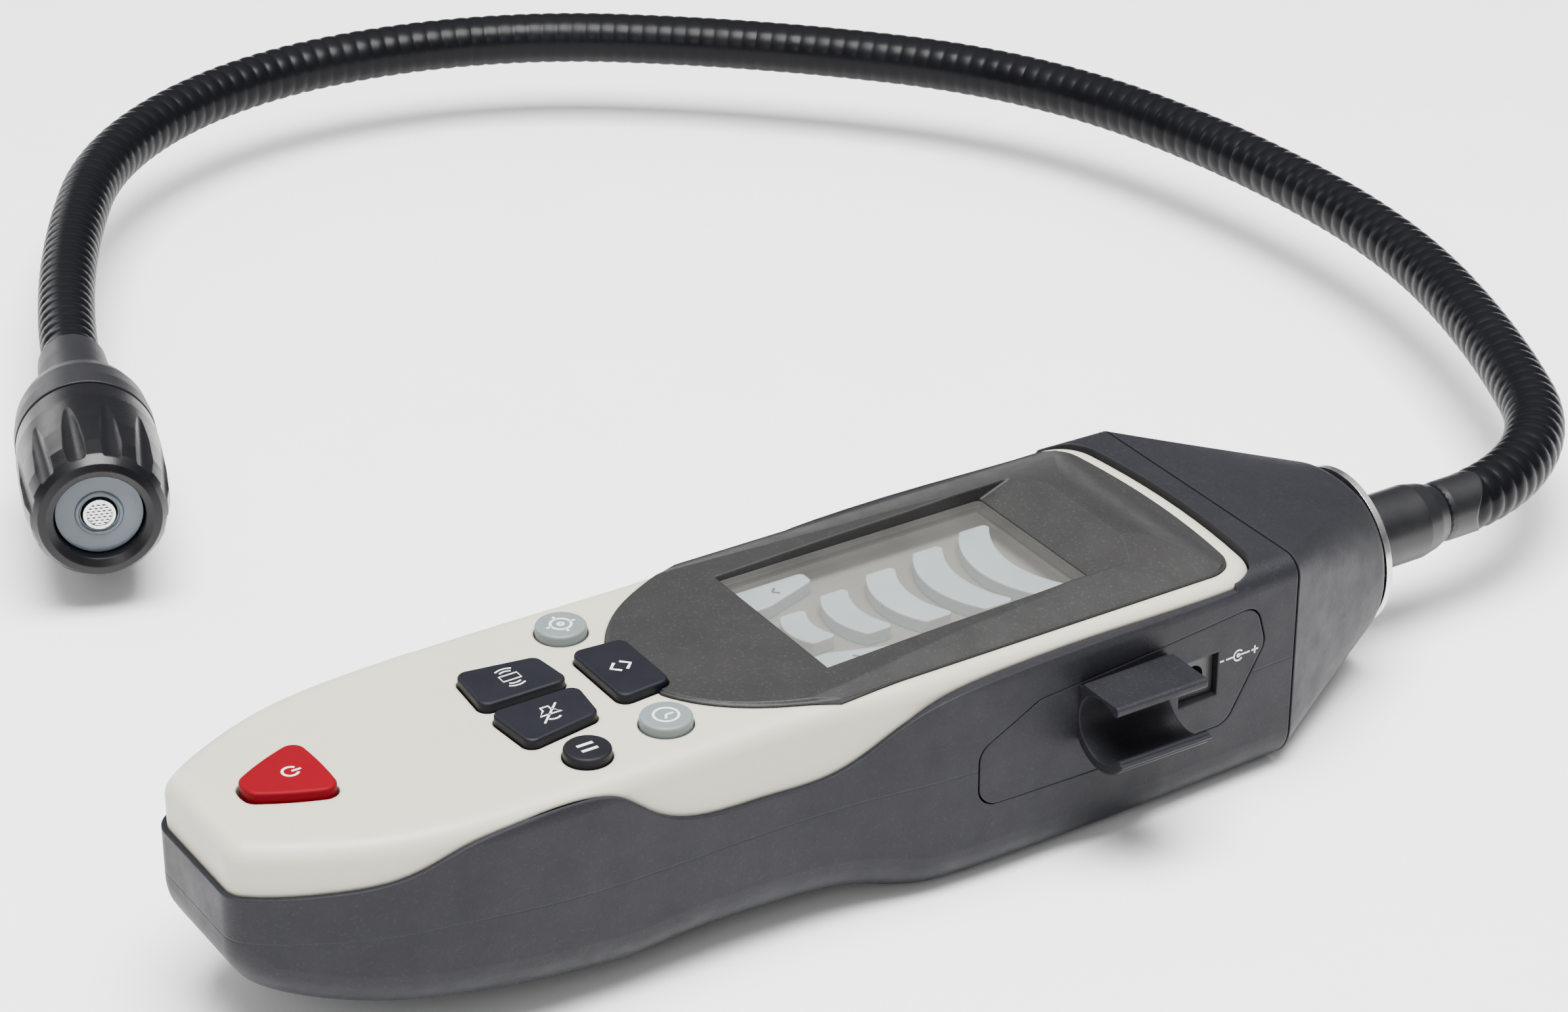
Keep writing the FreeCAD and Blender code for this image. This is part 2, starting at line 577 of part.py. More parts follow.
def key_shapes():
    """Outline function, name and middle of each key."""
    vibration = [(-1.0, -58.2), (-12.2, -57.2), (-9.9, -43.6), (-1.0, -42.5)]
    mute = [(-x, y) for x, y in vibration]
    ranges = [(-8.2, -38.6), (8.2, -38.6), (7.4, -29.2), (-7.4, -29.2)]
    return [
        ("vibration_key", lambda a, b, g: wide_key(vibration, 1.8, a, b, g), (-6.0, -50.5)),
        ("mute_key", lambda a, b, g: wide_key(mute, 1.8, a, b, g), (6.0, -50.5)),
        ("range_key", lambda a, b, g: wide_key(ranges, 1.8, a, b, g), (0.0, -34.0)),
        ("auto_zero_key", lambda a, b, g: round_key(-16.3, -35.5, 4.2, a, b, g), (-16.3, -35.5)),
        ("auto_off_key", lambda a, b, g: round_key(16.3, -35.5, 4.2, a, b, g), (16.3, -35.5)),
        ("hold_key", lambda a, b, g: round_key(17.9, -50.4, 3.8, a, b, g), (17.9, -50.4)),
        ("power_key", power_key, (0.0, -92.0)),
    ]


def make_keys():
    """Each key: cap, flange under the cover, stem over its contact, and the hole it needs."""
    flange_top = FACE_Z - 2.0 - 0.05
    stem_z = BOARD_Z + BOARD_THICK + MAT_THICK + KEY_TRAVEL + 0.1
    keys = []
    for name, outline, (x, y) in key_shapes():
        cap = outline(flange_top, KEY_TOP_Z, 0.0)
        top = [e for e in cap.Edges if e.BoundBox.ZMin > KEY_TOP_Z - 0.01]
        cap = cap.makeFillet(0.45, top)
        flange = outline(flange_top - 0.9, flange_top, 0.35)
        stem = rod(1.6, flange_top - 0.9 - stem_z, (x, y, stem_z), (0, 0, 1))
        keys.append({"name": name, "solid": cap.fuse(flange).fuse(stem).removeSplitter(),
                     "hole": outline(30, 50, 0.28)})
    return keys


def keypad_mat():
    z = BOARD_Z + BOARD_THICK
    mat = plan_prism(8.5, z, z + MAT_THICK).cut(box(-60, 60, -27.5, 90, 0, 60))
    return mat.cut(rod(1.8, 5, (0, -70, z - 1), (0, 0, 1)))


# ---- electronics -------------------------------------------------------------------------------
def main_board():
    board = plan_prism(6.2, BOARD_Z, BOARD_Z + BOARD_THICK).cut(box(-60, 60, 66.0, 90, 0, 60))
    for x, y in boss_places()[:4]:
        board = board.cut(rod(1.5, 5, (x, y, BOARD_Z - 1), (0, 0, 1)))
    return board


def buzzer():
    body = rod(6.0, 5.6, (0, -76, BOARD_Z - 5.6), (0, 0, 1))
    return body.cut(rod(1.0, 3.0, (0, -76, BOARD_Z - 6.6), (0, 0, 1)))


def vibration_motor():
    return rod(5.0, 2.8, (-9, -60, BOARD_Z - 2.8), (0, 0, 1))


def controller_chip():
    return box(-6, 6, -36, -24, BOARD_Z - 1.4, BOARD_Z)


def charging_socket():
    body = box(16.5, JACK_FACE_X, JACK_Y - 4.0, JACK_Y + 4.0, JACK_Z - 4.0, JACK_Z + 4.0)
    body = body.cut(rod(JACK_R, 9.0, (JACK_FACE_X - 8.5, JACK_Y, JACK_Z), (1, 0, 0)))
    return body.fuse(rod(0.65, 7.5, (JACK_FACE_X - 8.6, JACK_Y, JACK_Z), (1, 0, 0)))


def sensor_lead():
    """Cable from the board's far end, down to the neck axis and out through the fitting."""
    high, radius = 29.4, 12.0
    drop = high - NECK_Z
    turn = math.acos(1 - drop / (2 * radius))
    y0, y1 = 77.2, 82.0
    run = 2 * radius * math.sin(turn)

    def on_first(a):
        return Vector(0, y1 + radius * math.sin(a), high - radius + radius * math.cos(a))

    def on_second(a):
        return Vector(0, y1 + run - radius * math.sin(a), NECK_Z + radius - radius * math.cos(a))

    edges = [line(Vector(0, y0, high), Vector(0, y1, high)),
             Part.Arc(on_first(0), on_first(turn / 2), on_first(turn)).toShape(),
             Part.Arc(on_second(turn), on_second(turn / 2), on_second(0)).toShape(),
             line(on_second(0), Vector(0, PIVOT_0[1] - 4, NECK_Z))]
    section = Part.Wire(Part.makeCircle(1.7, Vector(0, y0, high), Vector(0, 1, 0)))
    return Part.Wire(edges).makePipeShell([section], True, False)


# ---- side panel --------------------------------------------------------------------------------
def side_panel():
    """Oblong insert in the side wall with the recess round the charging socket."""
    panel = plan_prism(0, 5, 39).cut(plan_prism(PANEL_DEPTH, 0, 60)).common(panel_cut(0, 20, 40))
    half = RECESS / 2
    recess = box(20, 40, JACK_Y - half, JACK_Y + half, JACK_Z - half, JACK_Z + half)
    return panel.cut(recess).removeSplitter()


def probe_clip():
    """C-shaped clip along Y that holds the folded neck: flat upper arm, curved lower arm."""
    length = CLIP_Y1 - CLIP_Y0
    outer = rod(CLIP_R + CLIP_THICK, length, (CLIP_X, CLIP_Y0, CLIP_Z), (0, 1, 0))
    inner = rod(CLIP_R, length + 2, (CLIP_X, CLIP_Y0 - 1, CLIP_Z), (0, 1, 0))
    front = box(CLIP_X, 60, 0, 90, CLIP_Z - 3.6, 60)
    top = box(20, 60, 0, 90, CLIP_Z + 4.6, 60)
    trough = outer.cut(front).cut(top)
    arm = box(30.4, CLIP_REACH, CLIP_Y0, CLIP_Y1, CLIP_Z + 4.6, CLIP_Z + 6.3)
    arm = arm.makeFillet(0.6, edges_along(arm, 1))
    a = math.radians(-39)
    lip_x, lip_z = CLIP_X + CLIP_R * math.cos(a), CLIP_Z + CLIP_R * math.sin(a)
    out = Vector(math.cos(math.radians(18)), 0, math.sin(math.radians(18)))
    down = Vector(out.z, 0, -out.x)
    corner = Vector(lip_x - 0.7, CLIP_Y0, lip_z)
    lip = polygon_prism([corner, corner + out * 1.9, corner + out * 1.9 + down * 1.5,
                         corner + down * 1.5], Vector(0, length, 0))
    back = box(29.4, 32.0, CLIP_Y0, CLIP_Y1, CLIP_Z - 4.0, CLIP_Z + 5.5)
    clip = trough.fuse([arm, lip, back]).cut(inner)
    return clip.cut(plan_prism(0, 5, 39)).removeSplitter()


# ---- batteries ---------------------------------------------------------------------------------
def cell_places():
    return [(x, z) for x in (-7.3, 7.3) for z in (9.3, 23.55)]


def battery_cells():
    cells = []
    for x, z in cell_places():
        can = rod(CELL_R, CELL_LONG - 1.2, (x, CELL_Y, z), (0, 1, 0))
        cells.append(can.fuse(rod(2.7, 1.2, (x, CELL_Y + CELL_LONG - 1.2, z), (0, 1, 0))))
    return cells


def battery_tray():
    tray = box(-16, 16, 16.4, 75.0, 2.3, BOARD_Z - 0.1)
    return tray.cut(box(-14.8, 14.8, 17.4, 74.0, -1, BOARD_Z - 0.6))


def battery_springs():
    """Conical contact springs, as stacked turns that press on the cells' flat ends."""
    springs = []
    for x, z in cell_places():
        for turn in range(3):
            radius = 4.2 - 1.1 * turn
            ring = Part.makeTorus(radius, 0.35, Vector(x, 18.3 + 0.72 * turn, z), Vector(0, 1, 0))
            springs.append(ring)
    return springs


def battery_contacts():
    y = CELL_Y + CELL_LONG
    return [box(x - 4, x + 4, y + 0.05, y + 0.55, z - 4, z + 4) for x, z in cell_places()]


def battery_door():
    door = box(-DOOR_X, DOOR_X, DOOR_Y0, DOOR_Y1, 0, DOOR_THICK)
    door = door.makeFillet(1.2, edges_along(door, 2))
    for i in range(5):
        y = 66.0 + 1.6 * i
        door = door.cut(box(-6, 6, y, y + 0.8, -1, 0.4))
    return door.cut(rod(1.6, 5, (0, 12.9, -1), (0, 0, 1))).cut(rod(2.6, 2.0, (0, 12.9, -1), (0, 0, 1)))


def door_screw():
    head = rod(2.4, 0.8, (0, 12.9, 0.15), (0, 0, 1))
    shank = rod(1.4, 3.4, (0, 12.9, 0.95), (0, 0, 1))
    return head.fuse(shank).cut(box(-2.0, 2.0, 12.6, 13.2, -1, 0.6))


# ---- sensor head -------------------------------------------------------------------------------
HEAD_FERRULE = [(0.0, 2.5), (0.0, 6.0), (1.2, 6.5), (12.0, 7.2), (17.5, 7.8), (17.5, 2.5)]
HEAD_SHELL = [(17.6, 2.6), (17.6, 7.9), (19.0, 9.6), (21.5, 11.2), (25.0, 12.3), (30.0, 12.9),
              (34.0, 13.0), (34.0, 10.4), (44.0, 10.4), (44.0, 8.8), (24.0, 8.8), (21.0, 2.6)]
HEAD_CAP = [(34.7, 10.7), (34.7, 12.9), (40.0, 13.2), (50.0, 13.2), (57.0, 12.9), (61.0, 12.2),
            (62.8, 11.0), (63.2, 9.6), (62.4, 8.2), (57.4, 8.0), (57.4, 9.6), (45.0, 9.6),
            (45.0, 10.7)]
FLUTES = 12


def head_place(stations):
    x, y, heading, _ = stations[-1]
    return (x, y, NECK_Z), heading


def head_cap(origin, heading):
    """Screw cap of the head with a ring of flutes."""
    cap = turned(HEAD_CAP, (0, 0, 0), 90)
    for i in range(FLUTES):
        t = math.radians(360 / FLUTES * (i + 0.5))
        tool = Part.makeCone(1.5, 3.0, 26, Vector(15.4 * math.cos(t), 35.5, 15.4 * math.sin(t)),
                             Vector(-0.035 * math.cos(t), 1, -0.035 * math.sin(t)))
        cap = cap.cut(tool)
    cap.rotate(Vector(0, 0, 0), Vector(0, 0, 1), heading - 90)
    cap.translate(Vector(*origin))
    return cap


def main():
    hull = hull_block()
    keys = make_keys()
    for key in keys:
        save(key["name"], key["solid"])
    holes = {key["name"]: key["hole"] for key in keys}
    save("front_shell", front_shell(hull))
    save("rear_shell", rear_shell(hull))
    save("face_cover", face_cover(keys))
    save("housing_screws", *housing_screws())

    save("display_bezel", display_bezel(holes["range_key"]))
    save("display_window", display_window())
    for number in range(5):
        save("level_bar_%d" % (number + 1), level_bar(number))
    save("low_range_lamp", range_lamp(-1))
    save("high_range_lamp", range_lamp(1))
    save("light_guide_tray", light_guide_tray())
    save("indicator_leds", *indicator_leds())

    save("main_board", main_board())
    save("keypad_mat", keypad_mat())
    save("buzzer", buzzer())
    save("vibration_motor", vibration_motor())
    save("controller_chip", controller_chip())
    save("charging_socket", charging_socket())
    save("sensor_lead", sensor_lead())

    save("side_panel", side_panel())
    save("probe_clip", probe_clip())

    save("battery_cells", *battery_cells())
    save("battery_tray", battery_tray())
    save("battery_springs", *battery_springs())
    save("battery_contacts", *battery_contacts())
    save("battery_door", battery_door())
    save("door_screw", door_screw())

    save("end_cap", end_cap())
    save("neck_washer", neck_washer())
    save("neck_nut", neck_nut())
    save("neck_base_ferrule", neck_base_ferrule())
    stations = neck_stations()
    for i, (length, turn) in enumerate(LINKS):
        last = i == len(LINKS) - 1
        link = neck_link(stations[i], stations[i + 1], length, turn, last)
        save("neck_link_%d" % (i + 1), link)

    origin, heading = head_place(stations)
    save("head_ferrule", turned(HEAD_FERRULE, origin, heading))
    save("head_rear_shell", turned(HEAD_SHELL, origin, heading))
    save("head_cap", head_cap(origin, heading))
    save("head_o_ring", turned([(44.2, 9.7), (44.2, 10.4), (44.9, 10.4), (44.9, 9.7)], origin, heading))
    save("head_lens", turned([(57.5, 3.3), (57.5, 7.8), (60.6, 7.8), (60.6, 3.3)], origin, heading))
    save("sensor_can", turned([(46.0, 0.0), (46.0, 2.9), (61.2, 2.9), (61.2, 2.3), (60.6, 2.3),
                               (60.6, 0.0)], origin, heading))
    save("sensor_mesh", turned([(60.65, 0.0), (60.65, 2.25), (61.0, 2.25), (61.0, 0.0)], origin, heading))
    save("sensor_board", turned([(44.4, 0.0), (44.4, 8.6), (46.0, 8.6), (46.0, 0.0)], origin, heading))


main()
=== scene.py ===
import json
import math

import bpy
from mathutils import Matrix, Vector


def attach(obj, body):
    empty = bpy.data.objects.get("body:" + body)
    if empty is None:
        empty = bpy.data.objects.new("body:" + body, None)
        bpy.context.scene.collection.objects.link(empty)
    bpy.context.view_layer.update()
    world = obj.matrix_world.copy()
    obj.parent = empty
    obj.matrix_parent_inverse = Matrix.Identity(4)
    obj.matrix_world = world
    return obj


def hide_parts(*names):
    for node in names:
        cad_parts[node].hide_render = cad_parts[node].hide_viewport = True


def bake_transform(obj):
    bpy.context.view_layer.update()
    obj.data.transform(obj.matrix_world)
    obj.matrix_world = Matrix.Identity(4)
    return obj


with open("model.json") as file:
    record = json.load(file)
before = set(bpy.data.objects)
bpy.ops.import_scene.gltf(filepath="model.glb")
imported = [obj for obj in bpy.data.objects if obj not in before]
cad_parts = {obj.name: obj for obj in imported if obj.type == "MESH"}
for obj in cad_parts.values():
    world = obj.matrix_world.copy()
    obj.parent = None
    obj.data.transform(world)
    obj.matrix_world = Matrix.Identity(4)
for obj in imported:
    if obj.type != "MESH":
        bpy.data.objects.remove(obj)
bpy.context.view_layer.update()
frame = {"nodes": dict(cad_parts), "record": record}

# Lengths here are in millimetres in the housing's own measure: X across, Y from the middle of the
# housing towards the neck, Z up. at() turns them into the row frame, in metres.
MM = 0.001
ORIGIN_Y = 43.0
KEY_TOP_Z = 42.0
NECK_Z = 20.0


def at(x, y, z):
    return Vector((x * MM, (y - ORIGIN_Y) * MM, z * MM))


# ---- materials ---------------------------------------------------------------------------------
class Nodes:
    """A material's node tree with short ways to add and link nodes."""

    def __init__(self, name):
        self.material = bpy.data.materials.new(name)
        self.material.use_nodes = True
        self.tree = self.material.node_tree
        self.shader = self.tree.nodes["Principled BSDF"]
        self.output = self.tree.nodes["Material Output"]
        self.coords = self.tree.nodes.new("ShaderNodeTexCoord").outputs["Object"]

    def add(self, kind, **settings):
        node = self.tree.nodes.new(kind)
        for key, value in settings.items():
            if key in node.inputs:
                node.inputs[key].default_value = value
            else:
                setattr(node, key, value)
        return node

    def link(self, out, into):
        self.tree.links.new(out, into)

    def noise(self, size_mm, detail=2.0, rough=0.5):
        node = self.add("ShaderNodeTexNoise", Scale=1000.0 / size_mm, Detail=detail, Roughness=rough)
        self.link(self.coords, node.inputs["Vector"])
        return node.outputs["Fac"]

    def cells(self, size_mm):
        node = self.add("ShaderNodeTexVoronoi", Scale=1000.0 / size_mm)
        self.link(self.coords, node.inputs["Vector"])
        return node

    def ramp(self, fac, *stops):
        node = self.tree.nodes.new("ShaderNodeValToRGB")
        elements = node.color_ramp.elements
        while len(elements) < len(stops):
            elements.new(0.5)
        for element, (position, value) in zip(elements, stops):
            element.position = position
            element.color = (*value, 1.0) if isinstance(value, tuple) else (value, value, value, 1.0)
        self.link(fac, node.inputs["Fac"])
        return node.outputs["Color"]

    def mix(self, fac, a, b, mode="MIX"):
        node = self.tree.nodes.new("ShaderNodeMix")
        node.data_type = "RGBA"
        node.blend_type = mode
        if isinstance(fac, float):
            node.inputs[0].default_value = fac
        else:
            self.link(fac, node.inputs[0])
        for socket, value in ((node.inputs[6], a), (node.inputs[7], b)):
            if isinstance(value, tuple):
                socket.default_value = (*value, 1.0)
            else:
                self.link(value, socket)
        return node.outputs[2]

    def bump(self, height, depth_mm, strength=1.0, before=None):
        node = self.add("ShaderNodeBump", Strength=strength, Distance=depth_mm * MM)
        self.link(height, node.inputs["Height"])
        if before is not None:
            self.link(before, node.inputs["Normal"])
        return node.outputs["Normal"]

    def soft_edges(self, radius_mm):
        node = self.add("ShaderNodeBevel", samples=4, Radius=radius_mm * MM)
        return node.outputs["Normal"]

    def edge_mask(self, radius_mm, sharpness=3.0):
        """Near 1 where the surface turns a corner, from the rounded and the true normal."""
        bevel = self.soft_edges(radius_mm)
        normal = self.add("ShaderNodeNewGeometry").outputs["Normal"]
        dot = self.add("ShaderNodeVectorMath", operation="DOT_PRODUCT")
        self.link(bevel, dot.inputs[0])
        self.link(normal, dot.inputs[1])
        spread = self.add("ShaderNodeMapRange")
        spread.inputs["From Min"].default_value = 1.0
        spread.inputs["From Max"].default_value = 1.0 - 0.3 / sharpness
        self.link(dot.outputs["Value"], spread.inputs["Value"])
        return spread.outputs["Result"]


def lighter(colour, k):
    return tuple(min(1.0, c * k) for c in colour)


BLOTCH_SIZE = 26.0
SPECKLE_SIZE = 0.32
GLOSS_PATCH_SIZE = 6.0
WAVINESS_SIZE, WAVINESS_DEPTH = 9.0, 0.03
SCATTER_DEPTH = 0.002


def moulded(name, colour, roughness, grain_mm=0.3, grain_depth=0.02, round_mm=0.4, edge_highlight_and_wear=1.25,
            speckle=0.0, metallic=0.0, subsurface=0.0, vary=0.08, specular=0.5):
    """Moulded plastic or rubber: fine grain, uneven gloss, faint blotches, and edges painted lighter,
    partly worn by rubbing and partly a painted highlight.
    """
    m = Nodes(name)
    broad = m.noise(BLOTCH_SIZE, 3.0)
    tint = m.ramp(broad, (0.3, lighter(colour, 1 - vary)), (0.7, lighter(colour, 1 + vary)))
    if speckle:
        dots = m.ramp(m.cells(SPECKLE_SIZE).outputs["Color"], (0.72, 0.0), (0.98, speckle))
        tint = m.mix(1.0, tint, dots, "ADD")
    # Edges painted lighter: partly worn by rubbing, partly a painted highlight along each edge.
    highlit_and_worn_edges = m.mix(m.edge_mask(round_mm), tint, lighter(colour, edge_highlight_and_wear))
    m.link(highlit_and_worn_edges, m.shader.inputs["Base Color"])
    gloss = m.ramp(m.noise(GLOSS_PATCH_SIZE, 4.0, 0.6), (0.3, roughness - 0.06), (0.72, roughness + 0.07))
    m.link(gloss, m.shader.inputs["Roughness"])
    edges = m.soft_edges(round_mm)
    fine = m.bump(m.noise(grain_mm, 2.0), grain_depth, 1.0, edges)
    waviness = m.bump(m.noise(WAVINESS_SIZE, 2.0), WAVINESS_DEPTH, 0.5, fine)
    m.link(waviness, m.shader.inputs["Normal"])
    m.shader.inputs["Specular IOR Level"].default_value = specular
    m.shader.inputs["Metallic"].default_value = metallic
    m.shader.inputs["Subsurface Weight"].default_value = subsurface
    m.shader.inputs["Subsurface Scale"].default_value = SCATTER_DEPTH
    return m.material


SCRATCH_SIZE, SCRATCH_DEPTH = 0.5, 0.004
METAL_EDGE_ROUND = 0.15


def metal(name, colour, roughness):
    """Plated or bare metal with fine scratches and cloudy gloss."""
    m = Nodes(name)
    tint = m.ramp(m.noise(8.0, 3.0), (0.3, lighter(colour, 0.88)), (0.7, colour))
    m.link(tint, m.shader.inputs["Base Color"])
    gloss = m.ramp(m.noise(2.0, 5.0, 0.7), (0.3, roughness - 0.05), (0.7, roughness + 0.1))
    m.link(gloss, m.shader.inputs["Roughness"])
    edges = m.soft_edges(METAL_EDGE_ROUND)
    scratches = m.noise(SCRATCH_SIZE, 4.0, 0.8)
    m.link(m.bump(scratches, SCRATCH_DEPTH, 1.0, edges), m.shader.inputs["Normal"])
    m.shader.inputs["Metallic"].default_value = 1.0
    return m.material


WINDOW_TINT = (0.93, 0.94, 0.93, 1.0)
SHEEN_HAZE_COLOUR = (0.19, 0.183, 0.168, 1.0)
SHEEN_HAZE_LEAST, SHEEN_HAZE_MOST = 0.13, 0.19


def clear_sheet(name):
    """Clear hard window with a faint grey diffuse layer, a painted reflection for its soft sheen, and a
    mirror-like sheen that grows at a slant.
    """
    m = Nodes(name)
    m.tree.nodes.remove(m.shader)
    see = m.add("ShaderNodeBsdfTransparent")
    see.inputs["Color"].default_value = WINDOW_TINT
    shine = m.add("ShaderNodeBsdfGlossy")
    shine.inputs["Color"].default_value = (1.0, 1.0, 1.0, 1.0)
    smear = m.ramp(m.noise(7.0, 4.0, 0.6), (0.35, 0.03), (0.75, 0.1))
    m.link(smear, shine.inputs["Roughness"])
    ripple = m.bump(m.noise(30.0, 1.0), 0.05, 0.25)
    m.link(ripple, shine.inputs["Normal"])
    slant = m.add("ShaderNodeLayerWeight", Blend=0.5)
    mix = m.add("ShaderNodeMixShader")
    sheen = m.ramp(slant.outputs["Facing"], (0.0, 0.02), (0.5, 0.045), (0.75, 0.2), (1.0, 0.9))
    m.link(sheen, mix.inputs["Fac"])
    # Grey diffuse layer mixed in as a painted reflection: it stands in for the soft sheen on the window
    # and lightens the shade seen through it.
    sheen_haze = m.add("ShaderNodeBsdfDiffuse")
    sheen_haze.inputs["Color"].default_value = SHEEN_HAZE_COLOUR
    with_sheen_haze = m.add("ShaderNodeMixShader")
    sheen_haze_amount = m.ramp(m.noise(14.0, 2.0), (0.3, SHEEN_HAZE_LEAST), (0.7, SHEEN_HAZE_MOST))
    m.link(sheen_haze_amount, with_sheen_haze.inputs["Fac"])
    m.link(see.outputs["BSDF"], with_sheen_haze.inputs[1])
    m.link(sheen_haze.outputs["BSDF"], with_sheen_haze.inputs[2])
    m.link(with_sheen_haze.outputs["Shader"], mix.inputs[1])
    m.link(shine.outputs["BSDF"], mix.inputs[2])
    m.link(mix.outputs["Shader"], m.output.inputs["Surface"])
    return m.material


def woven_mesh(name):
    """Fine woven steel cloth: crossing wires with dark gaps."""
    m = Nodes(name)
    waves = []
    for direction in ("DIAGONAL", "Z"):
        wave = m.add("ShaderNodeTexWave", wave_type="BANDS", bands_direction=direction, Scale=520.0)
        m.link(m.coords, wave.inputs["Vector"])
        waves.append(wave.outputs["Fac"])
    cloth = m.mix(1.0, m.ramp(waves[0], (0.2, 0.0), (0.7, 1.0)), m.ramp(waves[1], (0.2, 0.0), (0.7, 1.0)),
                  "LIGHTEN")
    m.link(m.mix(cloth, (0.05, 0.05, 0.055), (0.62, 0.62, 0.63)), m.shader.inputs["Base Color"])
    m.link(m.bump(cloth, 0.12), m.shader.inputs["Normal"])
    m.link(m.ramp(cloth, (0.0, 0.6), (1.0, 0.28)), m.shader.inputs["Roughness"])
    m.shader.inputs["Metallic"].default_value = 0.9
    return m.material


def circuit_board(name):
    """Green board with faint copper tracks under the mask."""
    m = Nodes(name)
    tracks = m.add("ShaderNodeTexBrick", Scale=220.0)
    m.link(m.coords, tracks.inputs["Vector"])
    lines = m.ramp(tracks.outputs["Fac"], (0.3, (0.012, 0.11, 0.045)), (0.7, (0.03, 0.2, 0.08)))
    m.link(lines, m.shader.inputs["Base Color"])
    m.link(m.bump(tracks.outputs["Fac"], 0.03), m.shader.inputs["Normal"])
    m.link(m.ramp(m.noise(3.0), (0.3, 0.25), (0.7, 0.4)), m.shader.inputs["Roughness"])
    return m.material


MATERIALS = {
    "shell_plastic": moulded("charcoal_plastic", (0.0085, 0.0084, 0.0112), 0.50, 0.35, 0.035, 0.5, 1.8,
                             0.006, specular=0.2),
    "cover_plastic": moulded("cream_plastic", (0.44, 0.425, 0.345), 0.36, 0.5, 0.006, 0.9, 1.03,
                             vary=0.015, subsurface=0.05, specular=0.35),
    "bezel_plastic": moulded("bezel_lacquer", (0.021, 0.0203, 0.020), 0.38, 0.28, 0.016, 0.6, 1.4,
                             0.012, metallic=0.2, specular=0.3),
    "window_plastic": clear_sheet("clear_window"),
    "light_guide": moulded("milky_guide", (0.46, 0.52, 0.56), 0.32, 0.6, 0.004, 0.5, 1.05,
                           vary=0.02, subsurface=0.4),
    "tray_plastic": moulded("display_backing", (0.225, 0.215, 0.198), 0.42, 0.5, 0.01, 0.2, 1.1),
    "dark_key": moulded("key_rubber_dark", (0.0042, 0.0044, 0.0075), 0.50, 0.45, 0.02, 0.35, 2.4,
                        specular=0.18),
    "black_key": moulded("key_rubber_black", (0.004, 0.004, 0.006), 0.50, 0.45, 0.02, 0.35, 2.4,
                         specular=0.18),
    "grey_key": moulded("key_rubber_grey", (0.125, 0.152, 0.152), 0.42, 0.5, 0.01, 0.35, 1.15,
                        vary=0.04, subsurface=0.5, specular=0.4),
    "red_key": moulded("key_rubber_red", (0.135, 0.0004, 0.0052), 0.46, 0.45, 0.014, 0.4, 1.2,
                       vary=0.04, subsurface=0.05, specular=0.06),
    "keypad_rubber": moulded("keypad_silicone", (0.26, 0.26, 0.27), 0.6),
    "circuit_board": circuit_board("green_board"),
    "component_black": moulded("component_black", (0.014, 0.014, 0.015), 0.4, 0.25, 0.02, 0.2, 1.8),
    "led": moulded("led_lens", (0.75, 0.74, 0.6), 0.2, 0.5, 0.002, 0.1, 1.1, subsurface=0.4),
    "bright_steel": metal("nickel_plate", (0.66, 0.655, 0.64), 0.2),
    "cell_can": metal("cell_wrapper", (0.34, 0.25, 0.08), 0.3),
    "tray_black": moulded("tray_black", (0.02, 0.02, 0.021), 0.5),
    "lead_jacket": moulded("lead_jacket", (0.02, 0.02, 0.021), 0.45),
    "neck_sleeve": moulded("neck_sleeve", (0.0026, 0.0026, 0.0036), 0.32, 0.5, 0.008, 0.1, 1.3,
                           vary=0.15, specular=0.11),
    "black_metal": moulded("ferrule_black", (0.0055, 0.0055, 0.0065), 0.36, 0.3, 0.012, 0.4, 2.4,
                           specular=0.4),
    "head_plastic": moulded("head_black", (0.0075, 0.0075, 0.009), 0.44, 0.35, 0.02, 0.4, 2.0,
                            specular=0.4),
    "cap_plastic": moulded("cap_black", (0.0036, 0.0036, 0.0045), 0.30, 0.6, 0.006, 0.35, 2.0,
                           specular=0.24),
    "head_disc": moulded("sensor_disc", (0.062, 0.078, 0.095), 0.22, 1.5, 0.05, 0.2, 1.3, vary=0.45),
    "seal_rubber": moulded("seal_rubber", (0.015, 0.015, 0.015), 0.5),
}
MARK_WHITE = moulded("mark_paint", (0.62, 0.62, 0.62), 0.5, 0.3, 0.004, 0.02, 1.0, vary=0.02)
MARK_GREY = moulded("mark_grey", (0.075, 0.075, 0.08), 0.5, 0.3, 0.004, 0.02, 1.0, vary=0.02)
MESH_CLOTH = woven_mesh("woven_steel")


# ---- CAD pieces that are shown as they are -----------------------------------------------------
def dress_cad_nodes():
    slots = {s["node"]: s["material_slot"] for s in frame["record"]["subparts"]}
    for name, obj in frame["nodes"].items():
        material = MESH_CLOTH if name == "sensor_mesh" else MATERIALS[slots[name]]
        if not obj.data.materials:
            obj.data.materials.append(material)
        for i in range(len(obj.data.materials)):
            obj.data.materials[i] = material


# ---- mesh helpers ------------------------------------------------------------------------------
def add_mesh(name, points, faces, material, smooth=True):
    mesh = bpy.data.meshes.new(name)
    mesh.from_pydata([tuple(p) for p in points], [], faces)
    mesh.polygons.foreach_set("use_smooth", [smooth] * len(mesh.polygons))
    mesh.materials.append(material)
    mesh.update()
    obj = bpy.data.objects.new(name, mesh)
    bpy.context.collection.objects.link(obj)
    return obj


